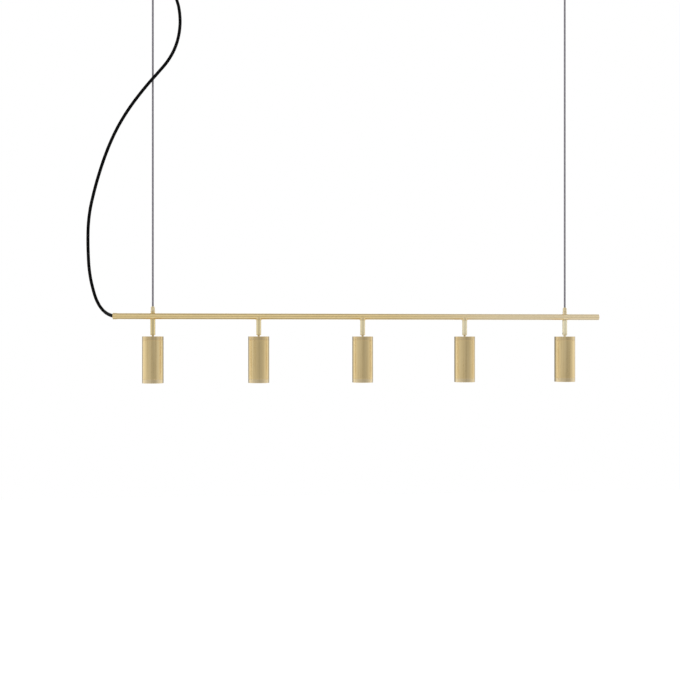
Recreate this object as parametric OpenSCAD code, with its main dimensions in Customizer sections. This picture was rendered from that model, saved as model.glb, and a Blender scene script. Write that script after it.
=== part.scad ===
// Linear pendant light: a brushed brass bar with five tilting spots, hung from the
// ceiling on two textile covered wires and fed by one black cord.
// Millimetres, +Z up, +X along the bar. The origin is on the ceiling, midway between
// the two wire anchors.

/* [Bar] */
// Height from the ceiling down to the axis of the bar
drop = 980; // [960:10:1100]
// Distance between neighbouring spots
head_pitch = 300; // [292:2:340]
// Length of the bar beyond each outer spot
bar_over = 100; // [80:5:140]
// Outside diameter of the bar
bar_d = 17; // [15:0.5:18]
// Wall of the bar
bar_wall = 1.5; // [1.2:0.1:1.8]
// Thickness of the closing disc at the right end
end_cap_t = 2.5; // [1.5:0.5:5]
// Length of the cord ferrule at the left end
ferrule_len = 12; // [10:1:16]
// Outside diameter of the cord ferrule
ferrule_d = 18.2; // [17.4:0.1:20]
// Depth that the end pieces reach into the bar
spigot_len = 10; // [8:1:16]

/* [Stem] */
// Outside diameter of a spot's stem
stem_d = 14; // [13.4:0.2:16]
// Wall of the stem
stem_wall = 1.6; // [1.4:0.1:1.9]
// Length of the stem
stem_len = 43.8; // [36:0.2:60]
// Thickness of the flat seat between bar and stem
seat_h = 1.2; // [0.8:0.1:3]
// Diameter of the round saddle under the bar at the inner spots
saddle_d = 18; // [16:0.5:22]
// Thread diameter of the hollow swivel nipple
nipple_d = 8; // [7:0.5:8]
// Bore of the swivel nipple
nipple_bore_d = 5; // [3.5:0.5:5.5]
// Thickness of the stem's top wall, which the nipple's head carries
stem_top_wall = 4; // [3:0.5:6]
// Height of the tilt axis above the stem's lower end
pivot_up = 6; // [5.4:0.2:8]
// Width of the slot that lets the neck swing out
slot_w = 7; // [6.8:0.1:7.4]
// Diameter of the pivot pins' tips
pin_d = 3; // [2:0.2:3.6]
// Diameter of the pivot pins' shoulders
pin_shoulder_d = 4; // [3.8:0.2:5]

/* [Neck] */
// Diameter of the neck rod
neck_d = 6.4; // [5.6:0.2:6.4]
// Radius of the neck's round knuckle
knuckle_r = 4; // [3.4:0.1:4]
// Bore for the lamp's leads
neck_bore_d = 3; // [2.8:0.1:3.2]
// Visible length of neck between the stem and the shade
neck_gap = 3.6; // [3.4:0.2:12]

/* [Shade] */
// Outside diameter of a shade
shade_d = 60; // [58:1:66]
// Overall length of a shade
shade_len = 133; // [120:1:134]
// Wall of the shade
shade_wall = 1.5; // [1:0.1:2]
// Height of the turned cap at the top of a shade
cap_h = 11.5; // [8:0.5:16]
// Thickness of the cap's top disc
cap_t = 3; // [2:0.5:5]
// Diameter of the boss that takes the neck's thread
boss_d = 18; // [12:1:24]
// Height of the front ring
ring_h = 11.5; // [8:0.5:14]
// Wall of the front ring
ring_wall = 2.5; // [2:0.1:3]
// Depth from the rim to the lamp's face
lamp_recess = 18; // [14:1:26]
// Width of the ledge under the lamp's rim
ledge_lap = 2; // [1.5:0.1:4]

/* [Lamp] */
// Gap between the reflector lamp's rim and the front ring
lamp_gap = 2.5; // [2:0.1:4]
// Height of the lamp without its pins
lamp_h = 46.5; // [44:0.5:50]
// Diameter of the lamp's base
lamp_base_d = 19; // [17:0.5:22]
// Distance between the lamp's two pins
lamp_pin_pitch = 10; // [9:0.5:10]
// Diameter of the lamp holder
holder_d = 26; // [22:1:30]
// Height of the lamp holder
holder_h = 18; // [14:1:24]

/* [Suspension] */
// Diameter of the suspension wires with their textile cover
wire_d = 5.5; // [3:0.5:6]
// Width of the hanger collars along the bar
collar_w = 13; // [11:0.5:16]
// Thickness of the hanger collars round the bar
collar_t = 0.9; // [0.7:0.1:1.5]
// Height of the collar's neck over the bar
collar_neck_h = 5; // [4.6:0.2:8]
// Diameter of the wire gripper's flange
gripper_d = 12.4; // [11:0.2:14]
// Height of the wire gripper
gripper_h = 14.4; // [12:0.2:26]
// Diameter of the ceiling anchors
anchor_d = 24; // [22:1:30]
// Height of the ceiling anchors
anchor_h = 26; // [24:1:30]
// Wall of the ceiling anchors
anchor_wall = 1.5; // [1:0.1:2]
// Diameter of the screw hole in each anchor's base
anchor_hole_d = 4.5; // [3.5:0.5:6]

/* [Ceiling cup] */
// Distance from the left wire to the centre of the cord's ceiling cup
cup_off = 62; // [59:1:66]
// Diameter of the ceiling cup
cup_d = 80; // [76:1:84]
// Height of the ceiling cup
cup_h = 30; // [28:1:34]
// Wall of the ceiling cup
cup_wall = 1.2; // [0.8:0.1:2]
// Distance between the two fixing holes of the ceiling plate
plate_pitch = 50; // [44:1:56]
// Diameter of the fixing holes of the ceiling plate
plate_hole_d = 4.5; // [3.5:0.5:6]
// Length of the cord grip below the cup
grip_len = 20; // [16:1:24]

/* [Power cord] */
// Diameter of the black textile covered cord
cord_d = 9; // [7:0.5:9]
// Diameter of the strain relief inside the ferrule
relief_d = 10.2; // [9.6:0.1:10.4]

/* [Hidden] */
head_count = 5;
head_ids = [1:head_count];
head_parts = [
    "stem_", "pivot_pins_", "neck_", "shade_cap_", "shade_tube_", "front_ring_", "lamp_holder_", "lamp_"
];
root_parts = [
    "bar_tube", "bar_end_cap", "cord_ferrule", "cord_strain_relief", "thread_blocks", "swivel_nipples",
    "stem_saddles", "hanger_collars", "wire_grippers", "wire_left", "wire_right", "anchor_caps",
    "anchor_bases", "ceiling_plate", "ceiling_cup", "cup_screws", "terminal_block", "cup_cord_grip",
    "power_cord", "bar_harness"
];
$fn = 64;

// Fits and small clearances
eps = 0.01;
run_fit = 0.05;
loose_fit = 0.1;
swivel_gap = 0.2;
bite = 1;

// Colours
brass = [0.80, 0.69, 0.45];
dark_brass = [0.62, 0.52, 0.33];
steel = [0.70, 0.71, 0.72];
black_rubber = [0.05, 0.05, 0.05];
black_cord = [0.06, 0.06, 0.06];
grey_textile = [0.52, 0.51, 0.54];
porcelain = [0.93, 0.92, 0.88];
lens_glass = [0.88, 0.92, 0.94];
copper_lead = [0.75, 0.30, 0.20];

// Places along and under the bar
bar_z = -drop;
bar_r = bar_d / 2;
bar_bore_r = bar_r - bar_wall;
bar_half = head_pitch * (head_count - 1) / 2 + bar_over;
hanger_x = head_pitch * (head_count - 1) / 2;
function head_x(i) = (i - (head_count + 1) / 2) * head_pitch;

// Heights of a spot's pieces, measured from the bar's axis
seat_z = -bar_r - seat_h;
stem_top_z = seat_z - swivel_gap;
stem_bottom_z = stem_top_z - stem_len;
pivot_z = stem_bottom_z + pivot_up;
shade_top_z = stem_bottom_z - neck_gap;
stem_bore_r = stem_d / 2 - stem_wall;
slot_head_up = 0.4;
foot_bevel = 1;
end_cap_bevel = 0.6;

// Swivel nipple and its block in the bar
nipple_r = nipple_d / 2;
nipple_hole_r = nipple_r + run_fit;
nipple_head_h = 2;
nipple_head_r = stem_bore_r - 0.4;
block_r = bar_bore_r - loose_fit;
block_top = -1.6;
block_len = 24;
nipple_top_z = block_top - 0.4;

// Tilt joint
pin_r = pin_d / 2;
pin_tip_x = neck_bore_d / 2 + 0.5;
pin_step_x = slot_w / 2;
pin_end_x = stem_d / 2 - 0.3;
pin_key_d = 2.2;
pin_key_depth = 1.4;
pin_end_gap = 0.15;
knuckle_half = neck_d / 2;

// Shade
shade_r = shade_d / 2;
shade_bore_r = shade_r - shade_wall;
edge_t = 0.8;
seam_t = 0.3;
spigot_h = 6;
spigot_wall = 1.5;
neck_thread_r = neck_d / 2 - 0.2;
ring_bore_r = shade_r - ring_wall;
ledge_t = 2;
ring_spigot_up = 2;
ring_lip = 0.4;
lamp_face = shade_len - lamp_recess;

// Lamp and holder
lamp_r = ring_bore_r - lamp_gap;
ledge_bore_r = lamp_r - ledge_lap;
lamp_rim_h = 4;
lamp_rim_step = 1;
lamp_rim_drop = 0.6;
lamp_edge = 0.5;
lamp_base_h = 12;
lamp_pin_h = 7;
lamp_pin_r = 1.5;
lamp_foot_r = 2.4;
lamp_top = lamp_face - lamp_h;
holder_top = lamp_top - holder_h;
holder_well_r = lamp_foot_r + 0.3;
holder_flat = 0.8;
lead_r = 0.65;
lead_x = 0.75;
bowl_steps = 6;

// Suspension
collar_r = bar_r + run_fit + collar_t;
collar_neck_r = 5.6;
stud_r = 2.5;
stud_len = 4.2;
gripper_z = bar_r + collar_neck_h;
gripper_top = gripper_z + gripper_h;
gripper_flange_h = 3;
gripper_groove_h = 1;
gripper_nose_h = 1.6;
gripper_cone_h = 1;
gripper_step = 0.5;
gripper_groove = 0.6;
gripper_foot_wall = 1.3;
gripper_tip_wall = 1.1;
wire_bore_r = wire_d / 2 + run_fit;
wire_seat = 1.5;
anchor_floor = 3;
anchor_base_h = 6;
anchor_edge = 2;
stop_r = wire_d / 2 + 2;
stop_h = 8;
csk_r = anchor_hole_d;

// Ceiling cup
cup_x = -hanger_x + cup_off;
cup_r = cup_d / 2;
plate_t = 2;
plate_r = cup_r - cup_wall - 0.6;
mains_hole_r = 8;
mains_hole_x = 6;
lug_w = 12;
lug_h = 11;
lug_t = 2;
lug_in = 1;
lug_screw_z = 6.5;
lug_screw_r = 1.5;
block_size = [17, 28, 13];
block_x = -16;
grip_flange_h = 3;
grip_flange_r = 8.5;
grip_thread_r = 6;
grip_waist_r = grip_thread_r + 1.4;
grip_thread_up = 8;
grip_tip_r = 5.4;
grip_bore_r = cord_d / 2 + loose_fit;

// Wiring in the bar
harness_r = 1.7;
harness_z = 3;
drop_lead_r = 1.2;
drop_lead_end = nipple_head_h + 6;
harness_over = 4;

// The cord's route: out of the ferrule, round the loose bow, across in front of the
// left wire and up into the ceiling cup
cord_route = [
    [-690, 0, -980],
    [-698, 0, -980],
    [-705, 0, -980],
    [-712, 0, -979],
    [-720, 0, -976.5],
    [-728, 0, -972.5],
    [-735.5, 0, -967],
    [-742.5, 0, -959.5],
    [-751, 0, -947],
    [-759.5, 0, -928.5],
    [-767, -1, -903],
    [-773.5, -1, -874],
    [-778, -2, -839.5],
    [-780, -3, -799],
    [-780.5, -4, -759],
    [-779, -5, -719],
    [-774, -6, -678.5],
    [-765.5, -7, -639.5],
    [-755.5, -8, -601],
    [-744, -8, -562.5],
    [-731, -9, -524.5],
    [-716, -10, -487],
    [-699, -10, -450.5],
    [-679.5, -11, -416],
    [-657.5, -11, -382],
    [-634, -11, -350],
    [-608.5, -11, -318],
    [-582.5, -10, -287.5],
    [-557.5, -9, -256],
    [-538.5, -8, -221],
    [-527, -7, -183],
    [-523, -5, -143],
    [-526.5, -3, -103],
    [-536, -1, -68],
    [-538, 0, -50],
    [-538, 0, -34],
    [-538, 0, -18]
];
relief_end = 6;
cord_ring_step = 19;
cord_sides = 10;
relief_sides = 12;
relief_tip_r = cord_d / 2 + 0.2;
cord_last = len(cord_route) - 1;

// A smooth curve through the route: its tangent at each point is half the step
// between the two neighbouring points
function route_slope(k) =
    k == 0 ? cord_route[1] - cord_route[0] :
    k == cord_last ? cord_route[k] - cord_route[k - 1] :
    (cord_route[k + 1] - cord_route[k - 1]) / 2;

function route_point(k, t) =
    cord_route[k] * (2 * t * t * t - 3 * t * t + 1)
    + route_slope(k) * (t * t * t - 2 * t * t + t)
    + cord_route[k + 1] * (3 * t * t - 2 * t * t * t)
    + route_slope(k + 1) * (t * t * t - t * t);

function route_heading(k, t) =
    cord_route[k] * (6 * t * t - 6 * t)
    + route_slope(k) * (3 * t * t - 4 * t + 1)
    + cord_route[k + 1] * (6 * t - 6 * t * t)
    + route_slope(k + 1) * (3 * t * t - 2 * t);

function unit(v) = v / norm(v);

function ring_count(k) = max(1, round(norm(cord_route[k + 1] - cord_route[k]) / cord_ring_step));

// Stations [point, heading] from route point a to route point b
function stations(a, b) = concat(
    [for (k = [a:b - 1]) for (s = [0:ring_count(k) - 1])
        [route_point(k, s / ring_count(k)), route_heading(k, s / ring_count(k))]],
    [[cord_route[b], route_slope(b)]]
);

function ring_points(station, r, sides) =
    let (h = unit(station[1]), u = unit(cross([0, 1, 0], h)), v = cross(h, u))
    [for (j = [0:sides - 1]) station[0] + r * (cos(360 * j / sides) * u + sin(360 * j / sides) * v)];

// A round solid swept through stations, with one radius for each
module swept(path, radii, sides) {
    n = len(path);
    rings = [for (i = [0:n - 1]) each ring_points(path[i], radii[i], sides)];
    walls = [for (i = [0:n - 2]) for (j = [0:sides - 1])
        let (a = i * sides + j, b = i * sides + (j + 1) % sides)
        each [[a, b, b + sides], [a, b + sides, a + sides]]];
    first = [for (j = [sides - 1:-1:0]) j];
    last = [for (j = [0:sides - 1]) (n - 1) * sides + j];
    polyhedron(rings, concat([first], walls, [last]));
}

// Points of an arc, from angle a to angle b
function arc(centre, r, a, b, steps) =
    [for (k = [0:steps]) centre + r * [cos(a + (b - a) * k / steps), sin(a + (b - a) * k / steps)]];

module rod_x(from_x, to_x, r) {
    translate([from_x, 0, 0])
        rotate([0, 90, 0])
            cylinder(h = to_x - from_x, r = r);
}

module rod_z(from_z, to_z, r) {
    translate([0, 0, from_z])
        cylinder(h = to_z - from_z, r = r);
}

module at_bar() {
    translate([0, 0, bar_z])
        children();
}

module at_head(i) {
    translate([head_x(i), 0, bar_z])
        children();
}

module at_hangers() {
    for (side = [-1, 1])
        translate([side * hanger_x, 0, bar_z])
            children();
}

// A turned piece given by [radius, depth] points, depth counted down from the shade's top
module turned_down(profile) {
    translate([0, 0, shade_top_z])
        mirror([0, 0, 1])
            rotate_extrude()
                polygon(profile);
}

module bar_tube() {
    color(brass)
        at_bar()
            difference() {
                rod_x(-bar_half, bar_half, bar_r);
                rod_x(-bar_half - bite, bar_half + bite, bar_bore_r);
                for (i = head_ids)
                    translate([head_x(i), 0, 0])
                        rod_z(-bar_r - bite, 0, nipple_hole_r + run_fit);
            }
}

module bar_end_cap() {
    color(brass)
        at_bar()
            translate([bar_half, 0, 0])
                rotate([0, 90, 0])
                    rotate_extrude()
                        polygon([
                            [0, -spigot_len],
                            [bar_bore_r - run_fit, -spigot_len],
                            [bar_bore_r - run_fit, 0],
                            [bar_r, 0],
                            [bar_r, end_cap_t - end_cap_bevel],
                            [bar_r - end_cap_bevel, end_cap_t],
                            [0, end_cap_t]
                        ]);
}

// The cord's mouth: a bell shaped bore in a turned ferrule
ferrule_throat_r = relief_d / 2 + 0.45;
ferrule_mouth_r = ferrule_d / 2 - 1.1;
ferrule_flare = ferrule_mouth_r - ferrule_throat_r;
flare_r = (ferrule_len * ferrule_len + ferrule_flare * ferrule_flare) / (2 * ferrule_flare);
flare_angle = asin(ferrule_len / flare_r);
nose_r = 0.8;

module cord_ferrule() {
    color(brass)
        at_bar()
            translate([-bar_half, 0, 0])
                rotate([0, -90, 0])
                    rotate_extrude()
                        polygon(concat(
                            [[ferrule_throat_r, -spigot_len]],
                            arc([ferrule_throat_r + flare_r, 0], flare_r, 180, 180 - flare_angle, 6),
                            arc([ferrule_d / 2 - nose_r, ferrule_len - nose_r], nose_r, 90, 0, 4),
                            [
                                [ferrule_d / 2, 0],
                                [bar_bore_r - run_fit, 0],
                                [bar_bore_r - run_fit, -spigot_len]
                            ]
                        ));
}

module cord_strain_relief() {
    path = stations(0, relief_end);
    mouth = 3;
    radii = [for (k = [0:len(path) - 1])
        k <= mouth ? relief_d / 2 :
        relief_d / 2 + (relief_tip_r - relief_d / 2) * (k - mouth) / (len(path) - 1 - mouth)];
    color(black_rubber)
        swept(path, radii, relief_sides);
}

module power_cord() {
    path = stations(relief_end, cord_last);
    color(black_cord)
        swept(path, [for (k = path) cord_d / 2], cord_sides);
}

// D shaped nut bars that lie in the bottom of the bar and hold the nipples
module thread_blocks() {
    color(steel)
        for (i = head_ids)
            at_head(i)
                difference() {
                    rod_x(-block_len / 2, block_len / 2, block_r);
                    translate([-block_len / 2 - bite, -block_r - bite, block_top])
                        cube([block_len + 2 * bite, 2 * block_r + 2 * bite, block_r - block_top + bite]);
                    rod_z(-block_r - bite, 0, nipple_hole_r);
                }
}

// Hollow screws that carry the stems and let them turn
module swivel_nipples() {
    head_top = stem_top_z - stem_top_wall - swivel_gap;
    color(dark_brass)
        for (i = head_ids)
            at_head(i)
                difference() {
                    union() {
                        rod_z(head_top, nipple_top_z, nipple_r);
                        rod_z(head_top - nipple_head_h, head_top, nipple_head_r);
                    }
                    rod_z(head_top - nipple_head_h - bite, nipple_top_z + bite, nipple_bore_d / 2);
                }
}

// Round saddles that turn the bar's curve into a flat seat, at the inner spots
module stem_saddles() {
    saddle_up = 6.8;
    color(brass)
        for (i = [2:head_count - 1])
            at_head(i)
                difference() {
                    rod_z(seat_z, seat_z + saddle_up, saddle_d / 2);
                    rod_x(-saddle_d, saddle_d, bar_r + run_fit);
                    rod_z(seat_z - bite, 0, nipple_hole_r + run_fit);
                }
}

// Collars round the bar at the outer spots: the wires pull on their necks
module hanger_collars() {
    color(brass)
        at_hangers()
            difference() {
                union() {
                    rod_x(-collar_w / 2, collar_w / 2, collar_r);
                    rod_z(seat_z, 0, stem_d / 2);
                    rod_z(0, gripper_z, collar_neck_r);
                }
                rod_x(-collar_w, collar_w, bar_r + run_fit);
                rod_z(seat_z - bite, 0, nipple_hole_r + run_fit);
                rod_z(0, gripper_z + bite, stud_r + run_fit);
            }
}

module wire_grippers() {
    body_r = gripper_d / 2 - gripper_step;
    cone_top = gripper_top - gripper_nose_h;
    color(brass)
        at_hangers()
            difference() {
                rotate_extrude()
                    polygon([
                        [0, gripper_z - stud_len],
                        [stud_r, gripper_z - stud_len],
                        [stud_r, gripper_z],
                        [gripper_d / 2 - seam_t, gripper_z],
                        [gripper_d / 2, gripper_z + seam_t],
                        [gripper_d / 2, gripper_z + gripper_flange_h],
                        [body_r - gripper_groove, gripper_z + gripper_flange_h],
                        [body_r - gripper_groove, gripper_z + gripper_flange_h + gripper_groove_h],
                        [body_r, gripper_z + gripper_flange_h + gripper_groove_h],
                        [body_r, cone_top - gripper_cone_h],
                        [body_r - gripper_cone_h, cone_top],
                        [wire_d / 2 + gripper_foot_wall, cone_top],
                        [wire_d / 2 + gripper_tip_wall, gripper_top],
                        [0, gripper_top]
                    ]);
                rod_z(gripper_z + wire_seat, gripper_top + bite, wire_bore_r);
            }
}

// A suspension wire with the crimped stop that hangs in its ceiling anchor
module wire(side) {
    color(grey_textile)
        translate([side * hanger_x, 0, 0])
            union() {
                rod_z(bar_z + gripper_z + wire_seat, -anchor_h + anchor_floor + stop_h, wire_d / 2);
                rod_z(-anchor_h + anchor_floor, -anchor_h + anchor_floor + stop_h, stop_r);
            }
}

module wire_left() {
    wire(-1);
}

module wire_right() {
    wire(1);
}

module anchor_caps() {
    r = anchor_d / 2;
    color(brass)
        for (side = [-1, 1])
            translate([side * hanger_x, 0, 0])
                rotate_extrude()
                    polygon(concat(
                        [[wire_bore_r, -anchor_h]],
                        arc([r - anchor_edge, -anchor_h + anchor_edge], anchor_edge, -90, 0, 5),
                        [
                            [r, 0],
                            [r - anchor_wall, 0],
                            [r - anchor_wall, -anchor_h + anchor_floor],
                            [wire_bore_r, -anchor_h + anchor_floor]
                        ]
                    ));
}

module anchor_bases() {
    color(steel)
        for (side = [-1, 1])
            translate([side * hanger_x, 0, 0])
                difference() {
                    rod_z(-anchor_base_h, 0, anchor_d / 2 - anchor_wall - run_fit);
                    rod_z(-anchor_base_h - bite, bite, anchor_hole_d / 2);
                    translate([0, 0, -anchor_base_h - eps])
                        cylinder(h = csk_r - anchor_hole_d / 2 + eps, r1 = csk_r, r2 = anchor_hole_d / 2);
                }
}

module ceiling_plate() {
    color(steel)
        translate([cup_x, 0, 0])
            difference() {
                union() {
                    rod_z(-plate_t, 0, plate_r);
                    for (side = [-1, 1])
                        translate([side * (plate_r - lug_t / 2 - lug_in) - lug_t / 2, -lug_w / 2, -lug_h])
                            cube([lug_t, lug_w, lug_h]);
                }
                for (side = [-1, 1])
                    translate([0, side * plate_pitch / 2, 0])
                        rod_z(-plate_t - bite, bite, plate_hole_d / 2);
                translate([mains_hole_x, 0, 0])
                    rod_z(-plate_t - bite, bite, mains_hole_r);
                translate([0, 0, -lug_screw_z])
                    rod_x(-cup_r, cup_r, lug_screw_r);
            }
}

module ceiling_cup() {
    edge = 2.5;
    color(brass)
        translate([cup_x, 0, 0])
            difference() {
                rotate_extrude()
                    polygon(concat(
                        [[grip_thread_r + loose_fit, -cup_h]],
                        arc([cup_r - edge, -cup_h + edge], edge, -90, 0, 5),
                        [
                            [cup_r, 0],
                            [cup_r - cup_wall, 0],
                            [cup_r - cup_wall, -cup_h + edge]
                        ],
                        arc([cup_r - edge, -cup_h + edge], edge - cup_wall, 0, -90, 5),
                        [[grip_thread_r + loose_fit, -cup_h + cup_wall]]
                    ));
                translate([0, 0, -lug_screw_z])
                    rod_x(-cup_r - bite, cup_r + bite, lug_screw_r + loose_fit);
            }
}

// Two round headed screws that hold the cup to the plate's lugs
module cup_screws() {
    screw_head_r = 2.8;
    screw_head_h = 1.8;
    driver_w = 0.7;
    driver_depth = 0.8;
    screw_in = plate_r - lug_t - 3;
    color(brass)
        for (side = [0, 180])
            translate([cup_x, 0, -lug_screw_z])
                rotate([0, 0, side])
                    difference() {
                        union() {
                            rod_x(screw_in, cup_r, lug_screw_r - run_fit);
                            rod_x(cup_r, cup_r + screw_head_h, screw_head_r);
                        }
                        translate([cup_r + screw_head_h - driver_depth, -screw_head_r - bite, -driver_w / 2])
                            cube([driver_depth + bite, 2 * screw_head_r + 2 * bite, driver_w]);
                    }
}

module terminal_block() {
    pole_pitch = 9;
    pole_z = 4.5;
    pole_r = 1.8;
    screw_x = 4.5;
    screw_r = 1.6;
    color(porcelain)
        translate([cup_x + block_x, 0, -plate_t - block_size[2]])
            difference() {
                translate([-block_size[0] / 2, -block_size[1] / 2, 0])
                    cube(block_size);
                for (pole = [-1, 0, 1])
                    translate([0, pole * pole_pitch, pole_z])
                        rod_x(-block_size[0], block_size[0], pole_r);
                for (pole = [-1, 0, 1])
                    for (side = [-1, 1])
                        translate([side * screw_x, pole * pole_pitch, 0])
                            rod_z(-bite, pole_z, screw_r);
            }
}

module cup_cord_grip() {
    color(dark_brass)
        translate([cup_x, 0, -cup_h])
            rotate_extrude()
                polygon([
                    [grip_bore_r, -grip_len],
                    [grip_tip_r, -grip_len],
                    [grip_waist_r, -grip_flange_h],
                    [grip_flange_r, -grip_flange_h],
                    [grip_flange_r, 0],
                    [grip_thread_r, 0],
                    [grip_thread_r, grip_thread_up],
                    [grip_bore_r, grip_thread_up]
                ]);
}

// The bundle of leads along the bar, with a pair dropping to each stem
module bar_harness() {
    from_x = -bar_half + spigot_len;
    drop_bottom = stem_top_z - stem_top_wall - drop_lead_end;
    color(copper_lead)
        at_bar()
            union() {
                translate([0, 0, harness_z])
                    rod_x(from_x, hanger_x + harness_over, harness_r);
                for (i = head_ids)
                    translate([head_x(i), 0, 0])
                        rod_z(drop_bottom, harness_z, drop_lead_r);
            }
}

// A hollow stem with a slot at the back, where the neck swings out
module stem() {
    top_inner_z = stem_top_z - stem_top_wall;
    color(brass)
        difference() {
            rotate_extrude()
                polygon([
                    [0, stem_bottom_z],
                    [stem_d / 2 - foot_bevel, stem_bottom_z],
                    [stem_d / 2, stem_bottom_z + foot_bevel],
                    [stem_d / 2, stem_top_z - seam_t],
                    [stem_d / 2 - seam_t, stem_top_z],
                    [0, stem_top_z]
                ]);
            rod_z(stem_bottom_z - bite, top_inner_z, stem_bore_r);
            rod_z(top_inner_z - bite, stem_top_z + bite, nipple_hole_r);
            translate([-slot_w / 2, 0, stem_bottom_z - bite])
                cube([slot_w, stem_d, pivot_up + bite + slot_head_up]);
            translate([0, 0, pivot_z + slot_head_up])
                rotate([-90, 0, 0])
                    cylinder(h = stem_d, d = slot_w);
            translate([0, 0, pivot_z])
                rod_x(-stem_d, stem_d, pin_shoulder_d / 2 + run_fit);
        }
}

// Two shouldered pins, one from each side, with hexagon sockets
module pivot_pins() {
    color(steel)
        for (side = [0, 180])
            translate([0, 0, pivot_z])
                rotate([0, 0, side])
                    difference() {
                        union() {
                            rod_x(pin_tip_x, pin_step_x + eps, pin_r);
                            rod_x(pin_step_x, pin_end_x, pin_shoulder_d / 2);
                        }
                        translate([pin_end_x - pin_key_depth, 0, 0])
                            rotate([0, 90, 0])
                                cylinder(h = pin_key_depth + bite, d = pin_key_d, $fn = 6);
                    }
}

module neck() {
    thread_end = shade_top_z - cap_h;
    color(brass)
        difference() {
            union() {
                translate([0, 0, pivot_z])
                    rod_x(-knuckle_half, knuckle_half, knuckle_r);
                rod_z(shade_top_z, pivot_z, neck_d / 2);
                rod_z(thread_end, shade_top_z, neck_thread_r);
            }
            rod_z(thread_end - bite, pivot_z + knuckle_r + bite, neck_bore_d / 2);
            for (side = [0, 180])
                translate([0, 0, pivot_z])
                    rotate([0, 0, side])
                        rod_x(pin_tip_x - pin_end_gap, knuckle_half + bite, pin_r + run_fit);
        }
}

module shade_cap() {
    spigot_r = shade_bore_r - loose_fit;
    color(brass)
        turned_down([
            [neck_thread_r + run_fit, 0],
            [shade_r - edge_t, 0],
            [shade_r, edge_t],
            [shade_r, cap_h - seam_t],
            [shade_r - seam_t, cap_h],
            [spigot_r, cap_h],
            [spigot_r, cap_h + spigot_h],
            [spigot_r - spigot_wall, cap_h + spigot_h],
            [spigot_r - spigot_wall, cap_t],
            [boss_d / 2, cap_t],
            [boss_d / 2, cap_h],
            [neck_thread_r + run_fit, cap_h]
        ]);
}

module shade_tube() {
    tube_end = shade_len - ring_h;
    color(brass)
        turned_down([
            [shade_bore_r, cap_h],
            [shade_r - seam_t, cap_h],
            [shade_r, cap_h + seam_t],
            [shade_r, tube_end - seam_t],
            [shade_r - seam_t, tube_end],
            [shade_bore_r, tube_end]
        ]);
}

module front_ring() {
    ring_top = shade_len - ring_h;
    color(brass)
        turned_down([
            [ring_bore_r, lamp_face - ring_spigot_up],
            [shade_bore_r - loose_fit, lamp_face - ring_spigot_up],
            [shade_bore_r - loose_fit, ring_top],
            [shade_r - seam_t, ring_top],
            [shade_r, ring_top + seam_t],
            [shade_r, shade_len - edge_t],
            [shade_r - edge_t, shade_len],
            [ring_bore_r + ring_lip, shade_len],
            [ring_bore_r, shade_len - ring_lip],
            [ring_bore_r, lamp_face + ledge_t],
            [ledge_bore_r, lamp_face + ledge_t],
            [ledge_bore_r, lamp_face],
            [ring_bore_r, lamp_face]
        ]);
}

// The lamp's bowl swells from its base to its rim in a quarter of a sine wave
module lamp() {
    bowl_top = lamp_top + lamp_base_h;
    bowl_h = lamp_h - lamp_base_h - lamp_rim_h;
    base_r = lamp_base_d / 2;
    swell = lamp_r - lamp_rim_step - base_r;
    color(lens_glass)
        union() {
            turned_down(concat(
                [[0, lamp_top], [base_r - lamp_edge, lamp_top], [base_r, lamp_top + lamp_edge]],
                [for (k = [0:bowl_steps])
                    [base_r + swell * sin(90 * k / bowl_steps), bowl_top + bowl_h * k / bowl_steps]],
                [
                    [lamp_r, bowl_top + bowl_h + lamp_rim_drop],
                    [lamp_r, lamp_face - lamp_edge],
                    [lamp_r - lamp_edge, lamp_face],
                    [0, lamp_face]
                ]
            ));
            for (side = [-1, 1])
                translate([side * lamp_pin_pitch / 2, 0, shade_top_z - lamp_top - eps]) {
                    rod_z(0, lamp_pin_h, lamp_pin_r);
                    rod_z(lamp_pin_h - 2, lamp_pin_h, lamp_foot_r);
                }
        }
}

module lamp_holder() {
    well_h = lamp_pin_h + 1;
    top_z = shade_top_z - holder_top;
    bottom_z = shade_top_z - lamp_top;
    flat_y = holder_d / 2 * holder_flat;
    color(porcelain)
        difference() {
            rod_z(bottom_z, top_z, holder_d / 2);
            for (side = [-1, 1]) {
                translate([side * lamp_pin_pitch / 2, 0, 0])
                    rod_z(bottom_z - bite, bottom_z + well_h, holder_well_r);
                translate([-holder_d, side * (flat_y + holder_d / 2) - holder_d / 2, bottom_z - bite])
                    cube([2 * holder_d, holder_d, holder_h + 2 * bite]);
            }
        }
    color(copper_lead)
        for (side = [-1, 1])
            translate([0, side * lead_x, 0])
                rod_z(top_z, pivot_z - knuckle_r, lead_r);
}

bar_tube();
bar_end_cap();
cord_ferrule();
cord_strain_relief();
thread_blocks();
swivel_nipples();
stem_saddles();
hanger_collars();
wire_grippers();
wire_left();
wire_right();
anchor_caps();
anchor_bases();
ceiling_plate();
ceiling_cup();
cup_screws();
terminal_block();
cup_cord_grip();
power_cord();
bar_harness();
for (i = head_ids) {
    at_head(i) stem();
    at_head(i) pivot_pins();
    at_head(i) neck();
    at_head(i) shade_cap();
    at_head(i) shade_tube();
    at_head(i) front_ring();
    at_head(i) lamp_holder();
    at_head(i) lamp();
}
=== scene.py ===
import math

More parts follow.
